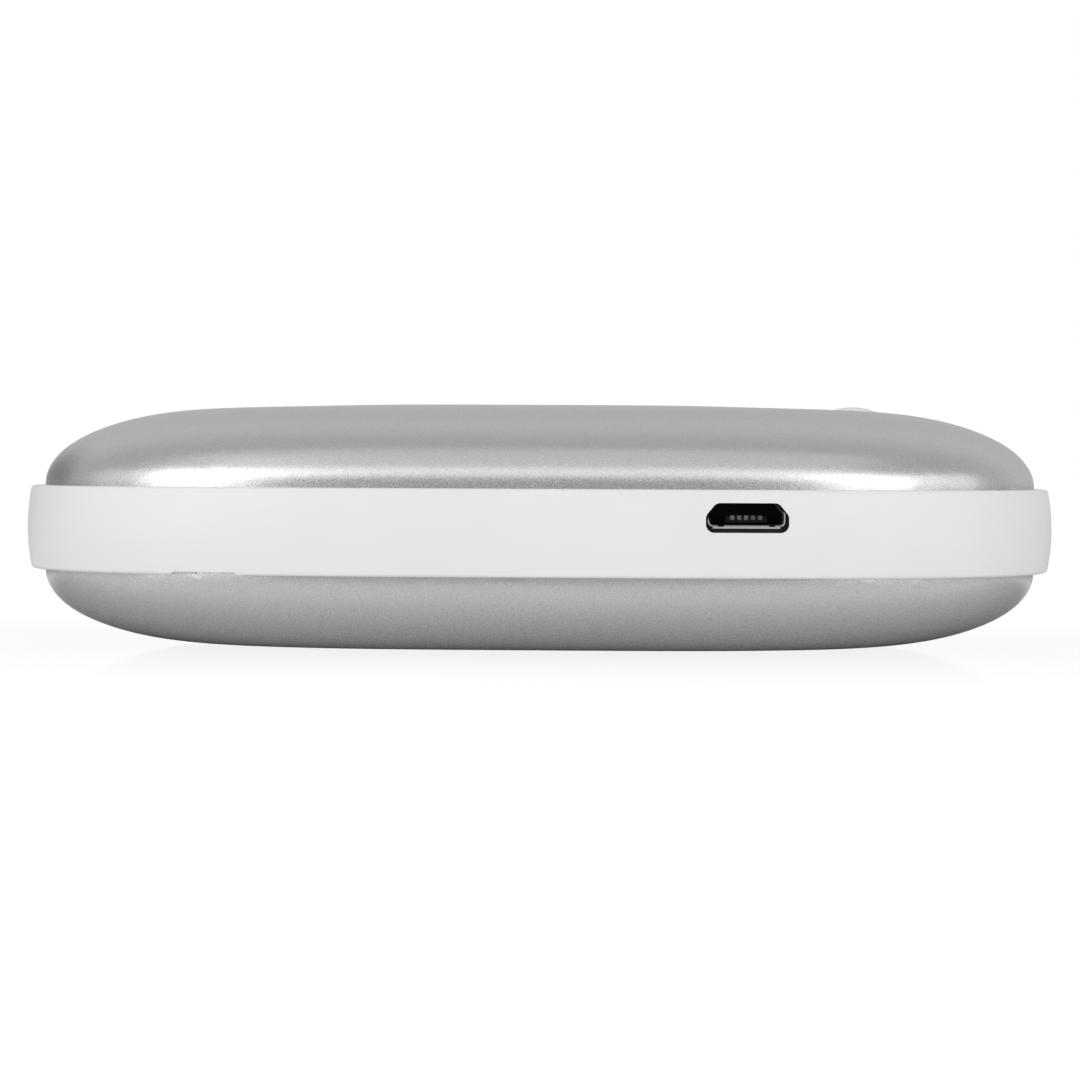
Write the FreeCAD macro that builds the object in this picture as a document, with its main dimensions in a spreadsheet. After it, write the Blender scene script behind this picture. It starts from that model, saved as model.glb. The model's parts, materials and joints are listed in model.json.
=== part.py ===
"""A pebble-shaped mobile hotspot: two aluminium shells, a white band round the middle, and the electronics inside.

Millimetres. +X runs along the long side, +Y to the back, +Z up. The origin is the centre of the flat that the
hotspot rests on. The charging socket is in the front (-Y) of the band, the SIM tray and reset pinhole in the back.
"""

import FreeCAD, Part
import Sketcher
import math
import os
import re

Vector = FreeCAD.Vector

# Every driving dimension, by sub-part. A cell's alias is the group and the name, such as shell_wall.
DIMENSIONS = {
    "oval": {"power": 3.3, "points": 48},
    "shell": {"half_length": 50.6, "half_width": 30.6, "wall": 1.0, "skirt": 1.15,
              "length_power": 2.2, "width_power": 2.3, "edge_rise": 7.11, "edge_length": 17.7, "edge_width": 13.3,
              "crown_length": 16, "crown_width": 8.7, "upper_crown": 1.42, "lower_crown": 1.23,
              "lower_joint": 8.2, "lower_height": 8.2, "upper_joint": 16.5, "upper_height": 8.37},
    "band": {"half_length": 52.3, "half_width": 32.5, "bulge": 0.4, "fillet": 0.35, "gap": 0.05},
    "frame": {"half_length": 50.55, "half_width": 30.55, "wall": 2.15, "shoulder_bottom": 9.55,
              "shoulder_top": 15.15, "tongue_bottom": 7.8, "tongue_top": 16.9, "tongue_step": 1.05,
              "web_bottom": 9.75, "web_height": 0.8, "boss_radius": 2.2,
              "window_x": -6, "window_length": 44, "window_width": 24},
    "adhesive": {"height": 0.14, "gap": 0.03, "width": 0.85},
    "board": {"length": 88, "width": 50, "height": 1.0, "bottom": 11.83, "corner": 12, "tab_length": 12,
              "tab_front": 29.4},
    "screw": {"x": 36, "y": 20, "shank_radius": 0.8, "shank_height": 6.1, "head_radius": 1.5,
              "head_height": 0.8, "clear_radius": 0.95, "thread_radius": 0.83, "recess": 0.4},
    "usb": {"x": 20.03, "width": 7.5, "height": 2.5, "mouth": -31.2, "depth": 5.2, "wall": 0.25, "floor": 0.1,
            "lip": 0.3, "lip_angle": 70, "chamfer_length": 0.9, "chamfer_height": 1.1, "fillet": 0.6,
            "inner_fillet": 0.35,
            "latch_x": 2.4, "latch_width": 0.6, "latch_depth": 1.9, "latch_setback": 0.06,
            "clearance": 0.14, "window_fillet": 0.8, "window_shift": 0.06, "window_drop": 0.2, "window_wall": 0.15,
            "pocket_gap": 0.55, "pocket_depth": 3, "collar_gap": 0.48, "collar_setback": 0.15,
            "fit": 0.03, "relief": 0.12, "board_slot": 12.8},
    "tongue": {"width": 3.9, "height": 0.6, "rise": 0.6, "setback": 0.9, "root_depth": 1.5},
    "contact": {"width": 0.38, "height": 0.06, "pitch": 0.65, "count": 5, "drop": 0.34},
    "pry": {"x": -31.0, "length": 6.3, "height": 0.3, "corner": 0.25},
    "sim": {"x": -18, "slot_length": 15.9, "slot_height": 2.7, "slot_bottom": 12.48, "clearance": 0.12,
            "notch_length": 14.2, "notch_bottom": 13.08, "notch_height": 1.5, "grip_radius": 0.8},
    "tray": {"length": 13.4, "front": 9.7, "back": 31.0, "height": 0.9, "bottom": 13.38, "bend": 0.5},
    "card": {"length": 12.3, "width": 8.8, "height": 0.67, "y": 15.6, "gap": 0.1, "floor": 0.15, "ledge": 1.0},
    "reader": {"length": 15.4, "width": 19.3, "height": 1.9, "y": 17.25, "wall": 0.4, "opening": 14.2, "top": 0.3},
    "reset": {"x": 8, "y": 23.6, "length": 4.4, "width": 2.6, "height": 1.7, "centre": 13.68, "hole_radius": 0.6,
              "plunger_radius": 0.5, "plunger_front": 23.7, "plunger_length": 2.7},
    "modem_shield": {"x": -16, "y": -9.5, "length": 28, "width": 22, "height": 1.8, "wall": 0.2},
    "wifi_shield": {"x": 12, "y": -12, "length": 16, "width": 14, "height": 1.6, "wall": 0.2},
    "thermal_pad": {"x": -16, "y": -9.5, "length": 20, "width": 16, "height": 0.6},
    "spreader": {"x": -14, "y": -8.5, "length": 40, "width": 26, "height": 0.5, "bottom": 15.23, "corner": 3},
    "battery": {"x": -4, "y": 0, "length": 60, "width": 40, "height": 6.6, "bottom": 2.9, "corner": 4, "edge": 1.6},
    "guard": {"x": 27.2, "y": 0, "length": 1.2, "width": 18, "height": 4.0, "bottom": 4.2},
    "pad": {"x": 0, "y": 0, "length": 36, "width": 12, "height": 1.77, "bottom": 1.1},
    "header": {"x": 34, "y": 0, "length": 5, "width": 8, "height": 1.6, "window_length": 8, "window_width": 11},
    "plug": {"length": 4.4, "width": 7.4, "height": 1.4},
    "lead": {"radius": 0.4, "pitch": 2.2, "level": 5.4, "bend": 2.0},
    "antenna": {"half_width": 15, "bottom": 13.08, "height": 3.4, "thickness": 0.15, "gap": 0.05},
    "spring": {"foot_x": 41.6, "knee_x": 43.6, "tip_x": 48.05, "thickness": 0.25, "width": 1.6, "rise": 1.7,
               "tip_height": 1.0, "y": 6},
    "wifi_antenna": {"x": 27, "y": 21.5, "length": 7, "width": 2.2, "height": 1.1},
    "carrier": {"bottom": 18.35, "height": 1.2, "gap": 0.1, "post_radius": 2.0, "window_x": -10,
                "window_length": 48, "window_width": 34},
    "key_board": {"x": 28, "y": 0, "length": 22, "width": 20, "height": 0.6, "corner": 2, "screw_x": 29,
                  "screw_y": 8.0, "screw_radius": 0.6, "head_radius": 1.1, "head_height": 0.6, "shank_height": 1.5},
    "key_switch": {"length": 5.2, "height": 1.3, "plunger_radius": 1.0, "bore_radius": 1.06, "bore_depth": 1.25,
                   "plunger_height": 1.4},
    "button": {"x": 32.8, "y": 0, "radius": 3.0, "hole_radius": 3.1, "top": 24.99, "dome": 0.78, "flange_radius": 3.9,
               "flange_bottom": 22.25, "flange_height": 0.55, "stem_radius": 1.5, "stem_bottom": 21.97},
    "light": {"x": 22, "pitch": 4, "count": 4, "radius": 0.5, "hole_radius": 0.55, "top": 24.72, "led_length": 0.8,
              "led_width": 1.6, "led_height": 0.4, "runner_bottom": 20.75, "runner_length": 2.2, "runner_width": 16,
              "runner_height": 0.8, "leg_width": 1.0},
    "socket": {"length": 3.0, "width": 6.4, "height": 1.0, "upper_x": 18.7, "lower_x": 4.0, "slot": 0.3},
    "ribbon": {"width": 5, "thickness": 0.2, "drop_x": 10.5, "bend": 2.0, "insertion": 1.2},
}

# Small packages on the main board: x, y, length, width, height. Each stands on the board.
MODEM_CHIPS = {"baseband": (-20, -9.5, 11, 11, 1.1), "memory": (-8.5, -13, 6, 8, 0.9),
               "radio": (-8.5, -4.5, 5, 5, 0.8)}
WIFI_CHIPS = {"wifi_radio": (10, -12, 5, 5, 0.8), "wifi_filter": (16.5, -12, 2, 1.6, 0.7)}
BOARD_CHIPS = {"power_manager": (31, -13, 6, 6, 0.9), "inductor_large": (25, -19, 4, 4, 1.6),
               "inductor_small": (31, -20, 3, 3, 1.4), "charger": (24, -13, 4, 4, 0.8),
               "flash_memory": (-34, -4, 6, 8, 0.9), "crystal": (-35, 5, 3.2, 2.5, 0.7),
               "tantalum_left": (-34, 11, 3.5, 2.8, 1.6), "tantalum_right": (24, 12, 3.5, 2.8, 1.6),
               "amplifier": (-35, -13, 4, 4, 0.8), "filter": (38, 4, 2.5, 2, 0.8)}
LEADS = ("battery_lead_red", "battery_lead_yellow", "battery_lead_black")
EDGE_ANGLES = (0, 12, 25, 40, 55, 70, 90)  # degrees round the shell's edge where a section is drawn
CROWN_SHARES = (0.5, 1)  # shares of the way from the edge's top to the crest where a section is drawn

doc = FreeCAD.newDocument("MobileHotspot")
sheet = doc.addObject("Spreadsheet::Sheet", "Dims")
parts = {}


def fill_sheet():
    """One row for each dimension: its alias in A and its plain number in B."""
    row = 1
    packages = {**MODEM_CHIPS, **WIFI_CHIPS, **BOARD_CHIPS}
    names = ("x", "y", "length", "width", "height")
    groups = {**DIMENSIONS, **{key: dict(zip(names, values)) for key, values in packages.items()}}
    for group, values in groups.items():
        for name, value in values.items():
            sheet.set(f"A{row}", f"{group} {name}")
            sheet.set(f"B{row}", str(value))
            sheet.setAlias(f"B{row}", f"{group}_{name}")
            row += 1
    doc.recompute()


def size(alias):
    """The number in the sheet's cell."""
    return float(sheet.get(alias))


def bind(thing, target, formula):
    """Drives one property from the sheet. A word with an underscore in the formula is a cell's alias."""
    thing.setExpression(target, re.sub(r"\b([a-z]+(?:_[a-z]+)+)\b", r"Dims.\1", formula))


def place(thing, x, y, z):
    for axis, formula in zip("xyz", (x, y, z)):
        bind(thing, f"Placement.Base.{axis}", formula)


def finish(thing, name):
    """Marks a document object as a sub-part of the product."""
    thing.Label = name
    parts[name] = thing


# Simple solids and booleans


def box(name, length, width, height, x, y, z):
    """A box centred on x and y that stands on z."""
    made = doc.addObject("Part::Box", name)
    bind(made, "Length", length)
    bind(made, "Width", width)
    bind(made, "Height", height)
    place(made, f"({x}) - ({length}) / 2", f"({y}) - ({width}) / 2", z)
    return made


def block(name, group, z):
    """A box whose size and place are the group's own cells."""
    return box(name, f"{group}_length", f"{group}_width", f"{group}_height", f"{group}_x", f"{group}_y", z)


def cylinder(name, radius, height, x, y, z, along_y=False):
    """A cylinder that starts at x, y, z and runs up, or towards the back."""
    made = doc.addObject("Part::Cylinder", name)
    if along_y:
        made.Placement = FreeCAD.Placement(Vector(0, 0, 0), FreeCAD.Rotation(Vector(1, 0, 0), -90))
    bind(made, "Radius", radius)
    bind(made, "Height", height)
    place(made, x, y, z)
    return made


def fuse(name, *solids):
    made = doc.addObject("Part::MultiFuse", name)
    made.Shapes = list(solids)
    return made


def cut(name, base, *tools):
    made = doc.addObject("Part::Cut", name)
    made.Base = base
    made.Tool = tools[0] if len(tools) == 1 else fuse(name + "_tools", *tools)
    return made


def common(name, base, tool):
    made = doc.addObject("Part::Common", name)
    made.Base = base
    made.Tool = tool
    return made


def group(name, *solids):
    """Separate solids that share one node."""
    made = doc.addObject("Part::Compound", name)
    made.Links = list(solids)
    return made


def rounded(name, base, radius, wanted):
    """Rounds the edges that wanted() picks."""
    doc.recompute()
    made = doc.addObject("Part::Fillet", name)
    made.Base = base
    r = size(radius)
    made.Edges = [(i + 1, r, r) for i, edge in enumerate(base.Shape.Edges) if wanted(edge)]
    return made


def upright(edge):
    """True for a straight edge along Z."""
    ends = [v.Point for v in edge.Vertexes]
    return len(ends) == 2 and abs(ends[0].z - ends[1].z) > 0.99 * edge.Length


def front_to_back(edge):
    """True for a straight edge along Y."""
    ends = [v.Point for v in edge.Vertexes]
    return len(ends) == 2 and abs(ends[0].y - ends[1].y) > 0.99 * edge.Length


def polygon_prism(name, outline, start, length, rise="0"):
    """A prism of an outline in X and Z, from y = start towards the front, moved up by rise.

    Each corner's place is an expression.
    """
    sketch = doc.addObject("Sketcher::SketchObject", name + "_sketch")
    sketch.Placement = FreeCAD.Placement(Vector(0, 0, 0), FreeCAD.Rotation(Vector(1, 0, 0), 90))
    count = len(outline)
    spread = [Vector(math.cos(2 * math.pi * i / count), math.sin(2 * math.pi * i / count), 0) for i in range(count)]
    for i in range(count):
        sketch.addGeometry(Part.LineSegment(spread[i], spread[(i + 1) % count]), False)
    for i in range(count):
        sketch.addConstraint(Sketcher.Constraint("Coincident", i, 2, (i + 1) % count, 1))
    for i, (x, z) in enumerate(outline):
        for kind, formula, value in (("DistanceX", x, spread[i].x), ("DistanceY", z, spread[i].y)):
            at = sketch.addConstraint(Sketcher.Constraint(kind, -1, 1, i, 1, value))
            bind(sketch, f"Constraints[{at}]", formula)
    bind(sketch, "Placement.Base.y", start)
    bind(sketch, "Placement.Base.z", rise)
    made = doc.addObject("Part::Extrusion", name)
    made.Base = sketch
    made.DirMode = "Normal"
    made.Solid = True
    bind(made, "LengthFwd", length)
    return made


# Oval outlines: |x / a|^power + |y / b|^power = 1, as the shells, band and frame have


def oval_curves(half_length, half_width):
    """The outline as four curves, one for each quadrant, that run straight along the axes where they meet."""
    count, power = int(size("oval_points")) // 4, size("oval_power")
    curves = []
    for side_x, side_y in ((1, 1), (-1, 1), (-1, -1), (1, -1)):
        points = []
        for i in range(count + 1):
            angle = 0.5 * math.pi * i / count
            c, s = max(math.cos(angle), 0), math.sin(angle)
            reach = ((c / half_length) ** power + (s / half_width) ** power) ** (-1 / power)
            points.append(Vector(side_x * reach * c, side_y * reach * s, 0))
        start, end = Vector(0, side_y, 0), Vector(-side_x, 0, 0)
        if side_x != side_y:
            points, start, end = points[::-1], -end, -start
        curve = Part.BSplineCurve()
        curve.interpolate(Points=points, InitialTangent=start, FinalTangent=end)
        curves.append(curve)
    return curves


def oval_sketch(body, name, half_length, half_width, z):
    """An oval on the body's own XY plane, at height z."""
    sketch = body.newObject("Sketcher::SketchObject", name)
    plane = next(f for f in body.Origin.OriginFeatures if f.Role == "XY_Plane")
    sketch.AttachmentSupport = [(plane, "")]
    sketch.MapMode = "FlatFace"
    sketch.AttachmentOffset = FreeCAD.Placement(Vector(0, 0, z), FreeCAD.Rotation())
    sketch.addGeometry(oval_curves(half_length, half_width), False)
    return sketch


def oval_block(name, inset, bottom, height):
    """A straight-sided oval solid, inset from the frame's outline."""
    sketch = doc.addObject("Sketcher::SketchObject", name + "_sketch")
    sketch.addGeometry(oval_curves(size("frame_half_length") - inset, size("frame_half_width") - inset), False)
    bind(sketch, "Placement.Base.z", bottom)
    made = doc.addObject("Part::Extrusion", name)
    made.Base = sketch
    made.DirMode = "Normal"
    made.Solid = True
    bind(made, "LengthFwd", height)
    return made


def oval_ring(name, outer_inset, inner_inset, bottom, height):
    return cut(name, oval_block(name + "_outer", outer_inset, bottom, height),
               oval_block(name + "_inner", inner_inset, bottom, height))


# Shells


def dome_sections(inset, crown):
    """Half length, half width and rise of each section of a dome that lies inside the shell's face by `inset`.

    The edge is a quarter of a superellipse, a little rounder across the width than along the length. The crown is a
    parabola along the length, over the whole dome.
    """
    a, b = size("shell_half_length") - inset, size("shell_half_width") - inset
    rise, power_a, power_b = size("shell_edge_rise") - inset, size("shell_length_power"), size("shell_width_power")
    edge_a, edge_b = size("shell_edge_length"), size("shell_edge_width")
    steps = []
    for angle in map(math.radians, EDGE_ANGLES):
        up = math.sin(angle) ** (2 / power_b)
        share_a = 1 - max(1 - up ** power_a, 0) ** (1 / power_a)
        share_b = 1 - max(math.cos(angle), 0) ** (2 / power_b)
        steps.append((edge_a * share_a, edge_b * share_b, rise * up))
    steps += [(edge_a + size("shell_crown_length") * share, edge_b + size("shell_crown_width") * share, rise)
              for share in CROWN_SHARES]
    return [(a - in_a, b - in_b, z + crown * (1 - (1 - in_a / a) ** 2)) for in_a, in_b, z in steps]


def add_dome(body, kind, name, inset, half):
    """Lofts the half's dome on the body, away from its joint. Returns the loft and its rim's sketch."""
    joint, crown, side = size(f"shell_{half}_joint"), size(f"shell_{half}_crown"), 1 if half == "upper" else -1
    sections = [oval_sketch(body, f"{name}_{i}", a, b, joint + side * z)
                for i, (a, b, z) in enumerate(dome_sections(inset, crown))]
    doc.recompute()
    loft = body.newObject(kind, name)
    loft.Profile = sections[0]
    loft.Sections = sections[1:]
    loft.Ruled = False
    doc.recompute()
    return loft, sections[0]


def shell_body(name, half):
    """A hollow shell: a dome, the skirt that tucks behind the band, and the hollow inside both."""
    body = doc.addObject("PartDesign::Body", name)
    outer, rim = add_dome(body, "PartDesign::AdditiveLoft", name + "_dome", 0, half)
    skirt = body.newObject("PartDesign::Pad", name + "_skirt")
    skirt.Profile = rim
    skirt.Reversed = half == "upper"
    bind(skirt, "Length", "shell_skirt")
    doc.recompute()
    hollow, inner_rim = add_dome(body, "PartDesign::SubtractiveLoft", name + "_hollow", size("shell_wall"), half)
    mouth = body.newObject("PartDesign::Pocket", name + "_mouth")
    mouth.Profile = inner_rim
    mouth.Reversed = half == "lower"
    bind(mouth, "Length", "shell_skirt * 2")
    doc.recompute()
    if not outer.Shape.Volume > hollow.Shape.Volume > mouth.Shape.Volume:
        raise RuntimeError(f"{name}: the hollow or its mouth cut nothing")
    return body


def beyond(name, z):
    """A block over the whole outline, for trimming a crest to a flat."""
    return box(name, "2 * shell_half_length", "2 * shell_half_width", "shell_upper_height", "0", "0", z)


def port_relief(name):
    """The room over the socket and its collar, for the pieces that would sit on them."""
    rise = "board_bottom + board_height + usb_height + usb_collar_gap + usb_relief - frame_shoulder_top"
    return box(name, "usb_width + 2 * (usb_collar_gap + usb_relief)", "4", rise, "usb_x", "-shell_half_width",
               "frame_shoulder_top")


def make_shells():
    button_hole = cylinder("button_hole", "button_hole_radius", "shell_edge_rise", "button_x", "button_y",
                           "shell_upper_joint + 3")
    light_holes = [cylinder(f"light_hole_{i}", "light_hole_radius", "shell_edge_rise", "light_x",
                            f"light_pitch * ({i} - (light_count - 1) / 2)", "shell_upper_joint + 3")
                   for i in range(int(size("light_count")))]
    finish(cut("top_shell_cut", shell_body("top_shell_body", "upper"),
               beyond("top_trim", "shell_upper_joint + shell_upper_height"), port_relief("shell_relief"), button_hole,
               *light_holes), "top_shell")
    finish(cut("bottom_shell_cut", shell_body("bottom_shell_body", "lower"),
               beyond("bottom_trim", "shell_lower_joint - shell_lower_height - shell_upper_height")), "bottom_shell")


# Band


def usb_outline(grow, shift):
    """The socket's outline: flat below, with its two upper corners cut off. grow is added all round."""
    side = f"usb_width / 2 + ({grow})"
    shoulder = f"usb_width / 2 - usb_chamfer_length + 0.5 * ({grow})"
    low = f"board_bottom + board_height - ({grow})"
    bend = f"board_bottom + board_height + usb_height - usb_chamfer_height + 0.4 * ({grow})"
    high = f"board_bottom + board_height + usb_height + ({grow})"
    corners = [(f"-({side})", low), (side, low), (side, bend), (shoulder, high), (f"-({shoulder})", high),
               (f"-({side})", bend)]
    return [(f"usb_x + ({shift}) + ({x})", z) for x, z in corners]


def usb_prism(name, grow, start, depth, shift="0", rise="0", fillet="usb_fillet"):
    """The rounded prism of the socket's outline, moved along X by shift and up by rise."""
    return rounded(name, polygon_prism(name + "_prism", usb_outline(grow, shift), start, depth, rise), fillet,
                   front_to_back)


def band_body():
    body = doc.addObject("PartDesign::Body", "band_body")
    low, high = size("shell_lower_joint"), size("shell_upper_joint")
    a, b, bulge = size("band_half_length"), size("band_half_width"), size("band_bulge")
    levels = ((low, bulge), ((3 * low + high) / 4, bulge / 4), ((low + high) / 2, 0),
              ((low + 3 * high) / 4, bulge / 4), (high, bulge))
    sections = [oval_sketch(body, f"band_{i}", a - less, b - less, z) for i, (z, less) in enumerate(levels)]
    doc.recompute()
    loft = body.newObject("PartDesign::AdditiveLoft", "band_loft")
    loft.Profile = sections[0]
    loft.Sections = sections[1:]
    doc.recompute()
    inner = oval_sketch(body, "band_inner", size("shell_half_length") + size("band_gap"),
                        size("shell_half_width") + size("band_gap"), low)
    hollow = body.newObject("PartDesign::Pocket", "band_hollow")
    hollow.Profile = inner
    hollow.Reversed = True
    bind(hollow, "Length", "shell_upper_joint - shell_lower_joint + 1")
    doc.recompute()
    if hollow.Shape.Volume > 0.5 * loft.Shape.Volume:
        raise RuntimeError("the band's hollow cut nothing")
    edge = body.newObject("PartDesign::Fillet", "band_edges")
    outer_rims = [f"Edge{i + 1}" for i, e in enumerate(hollow.Shape.Edges)
                  if e.BoundBox.ZLength < 0.01 and max(abs(v.X) for v in e.Vertexes) > size("shell_half_length") + 1]
    edge.Base = (hollow, outer_rims)
    bind(edge, "Radius", "band_fillet")
    doc.recompute()
    return body


def sim_slot(name, less):
    """The block that the SIM slot takes out of the band's back, smaller all round by `less`."""
    return box(name, f"sim_slot_length - 2 * ({less})", "band_half_width / 2", f"sim_slot_height - 2 * ({less})",
               "sim_x", "band_half_width", f"sim_slot_bottom + ({less})")


def reset_hole(name):
    return cylinder(name, "reset_hole_radius", "band_half_width / 2", "reset_x", "board_width / 2 + 1",
                    "reset_centre", along_y=True)


def make_band():
    ring = band_body()
    window = usb_prism("usb_window", "usb_clearance", "usb_mouth", "2", "usb_window_shift", "-usb_window_drop",
                       "usb_window_fillet")
    pocket = usb_prism("usb_pocket", "usb_pocket_gap", "usb_mouth - usb_window_wall + usb_pocket_depth",
                       "usb_pocket_depth")
    pry_notch = rounded("pry_notch", box("pry_box", "pry_length", "band_half_width / 4", "2 * pry_height", "pry_x",
                                         "-band_half_width", "shell_lower_joint - pry_height"),
                        "pry_corner", front_to_back)
    finish(cut("band_cut", ring, window, pocket, pry_notch, sim_slot("sim_slot", "0"),
               reset_hole("band_reset_hole")), "band")
    return ring


# Frame and what holds the shells to it


def at_screws(make, name, *args):
    """One solid at each of the four frame screws."""
    return [make(f"{name}_{i}", *args, f"{sx} * screw_x", f"{sy} * screw_y")
            for i, (sx, sy) in enumerate(((1, 1), (-1, 1), (-1, -1), (1, -1)))]


def standing(name, radius, height, z, x, y):
    return cylinder(name, radius, height, x, y, z)


def make_frame():
    wall, step = size("frame_wall"), size("frame_tongue_step")
    shoulder = oval_block("frame_shoulder", 0, "frame_shoulder_bottom", "frame_shoulder_top - frame_shoulder_bottom")
    tongue = oval_block("frame_tongue", step, "frame_tongue_bottom", "frame_tongue_top - frame_tongue_bottom")
    inside = oval_block("frame_inside", wall, "frame_tongue_bottom", "frame_tongue_top - frame_tongue_bottom")
    ring = cut("frame_ring", fuse("frame_outside", shoulder, tongue), inside)
    web = cut("frame_web", oval_block("frame_web_blank", wall, "frame_web_bottom", "frame_web_height"),
              box("frame_window", "frame_window_length", "frame_window_width", "frame_web_height",
                  "frame_window_x", "0", "frame_web_bottom"),
              box("lead_window", "header_window_length", "header_window_width", "frame_web_height", "header_x",
                  "0", "frame_web_bottom"))
    bosses = at_screws(standing, "frame_boss", "frame_boss_radius", "board_bottom - frame_web_bottom",
                       "frame_web_bottom")
    holes = at_screws(standing, "frame_hole", "screw_clear_radius", "board_bottom - frame_web_bottom",
                      "frame_web_bottom")
    collar_front = "usb_mouth + usb_collar_setback"
    collar = usb_prism("usb_collar", "usb_collar_gap", f"{collar_front} + 2", "2")
    socket_hole = usb_prism("usb_frame_hole", "usb_fit", "usb_mouth + usb_depth + 1", "usb_depth + 2")
    board_slot = box("board_slot", "usb_board_slot", "band_half_width / 4", "board_height + 0.2", "usb_x",
                     "-board_tab_front - 0.2 + band_half_width / 8", "board_bottom - 0.1")
    sim_notch = box("sim_notch", "sim_notch_length", "band_half_width / 4", "sim_notch_height", "sim_x",
                    "frame_half_width", "sim_notch_bottom")
    finish(cut("frame_cut", fuse("frame_solid", ring, web, collar, *bosses), *holes, socket_hole, board_slot,
               sim_notch, reset_hole("frame_reset_hole")), "mid_frame")
    width, gap = size("adhesive_width"), size("adhesive_gap")
    upper_ring = oval_ring("upper_ring", gap, gap + width, "frame_shoulder_top + adhesive_gap", "adhesive_height")
    finish(cut("upper_ring_cut", upper_ring, port_relief("adhesive_relief")), "upper_adhesive")
    finish(oval_ring("lower_ring", gap, gap + width, "frame_shoulder_bottom - adhesive_gap - adhesive_height",
                     "adhesive_height"), "lower_adhesive")


def screw(name, shank_radius, shank_height, head_radius, head_height, z, up, x, y):
    """A pan-head screw with a cross recess. z is where its head meets its shank, and it points up or down."""
    shank_z, head_z = (z, f"{z} - {head_height}") if up else (f"{z} - {shank_height}", z)
    solid = fuse(name + "_solid", cylinder(name + "_shank", shank_radius, shank_height, x, y, shank_z),
                 cylinder(name + "_head", head_radius, head_height, x, y, head_z))
    recess_z = head_z if up else f"{z} + {head_height} - screw_recess"
    arms = [box(f"{name}_arm_{i}", *arm, "screw_recess", x, y, recess_z)
            for i, arm in enumerate(((f"1.3 * {head_radius}", "screw_recess"),
                                     ("screw_recess", f"1.3 * {head_radius}")))]
    return cut(name, solid, *arms)


def make_frame_screws():
    screws = [screw(f"frame_screw_{i}", "screw_shank_radius", "screw_shank_height", "screw_head_radius",
                    "screw_head_height", "frame_web_bottom", True, f"{sx} * screw_x", f"{sy} * screw_y")
              for i, (sx, sy) in enumerate(((1, 1), (-1, 1), (-1, -1), (1, -1)))]
    finish(group("frame_screw_set", *screws), "frame_screws")


def make_carrier():
    """The plate bonded inside the top shell: a slice of the shell's hollow, with four posts down to the board."""
    body = doc.addObject("PartDesign::Body", "carrier_dome")
    add_dome(body, "PartDesign::AdditiveLoft", "carrier_loft", size("shell_wall") + size("carrier_gap"), "upper")
    slab = box("carrier_slab", "2 * shell_half_length", "2 * shell_half_width", "carrier_height", "0", "0",
               "carrier_bottom")
    posts = at_screws(standing, "carrier_post", "carrier_post_radius",
                      "carrier_bottom + carrier_height - board_bottom - board_height", "board_bottom + board_height")
    holes = at_screws(standing, "carrier_hole", "screw_thread_radius", "screw_shank_height",
                      "board_bottom + board_height")
    pilot = [cylinder(f"carrier_pilot_{i}", "key_board_screw_radius + 0.03", "carrier_height", "key_board_screw_x",
                      f"{side} * key_board_screw_y", "carrier_bottom") for i, side in enumerate((1, -1))]
    window = box("carrier_window", "carrier_window_length", "carrier_window_width", "carrier_height",
                 "carrier_window_x", "0", "carrier_bottom")
    finish(cut("carrier_cut", fuse("carrier_solid", common("carrier_plate", body, slab), *posts), *holes, *pilot,
               window), "top_carrier")


# Main board and what stands on it


BOARD_TOP = "board_bottom + board_height"


def make_board():
    blank = rounded("board_blank", box("board_box", "board_length", "board_width", "board_height", "0", "0",
                                       "board_bottom"), "board_corner", upright)
    tab = box("board_tab", "board_tab_length", "board_tab_front - board_width / 4", "board_height", "usb_x",
              "-(board_tab_front + board_width / 4) / 2", "board_bottom")
    holes = at_screws(standing, "board_hole", "screw_clear_radius", "board_height", "board_bottom")
    finish(cut("board_cut", fuse("board_solid", blank, tab), *holes), "main_board")


def make_packages():
    for node, packages in (("modem_chips", MODEM_CHIPS), ("wifi_chips", WIFI_CHIPS), ("board_chips", BOARD_CHIPS)):
        finish(group(node + "_set", *[block(key + "_package", key, BOARD_TOP) for key in packages]), node)
    for node in ("modem_shield", "wifi_shield"):
        can = block(node + "_can", node, BOARD_TOP)
        hollow = box(node + "_hollow", f"{node}_length - 2 * {node}_wall", f"{node}_width - 2 * {node}_wall",
                     f"{node}_height - {node}_wall", f"{node}_x", f"{node}_y", BOARD_TOP)
        finish(cut(node + "_cut", rounded(node + "_rounded", can, "key_board_screw_radius", upright), hollow), node)
    finish(block("thermal_pad_block", "thermal_pad", f"{BOARD_TOP} + modem_shield_height"), "thermal_pad")
    finish(rounded("spreader_rounded", block("spreader_block", "spreader", "spreader_bottom"), "spreader_corner",
                   upright), "heat_spreader")
    finish(block("wifi_antenna_block", "wifi_antenna", BOARD_TOP), "wifi_antenna")


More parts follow.
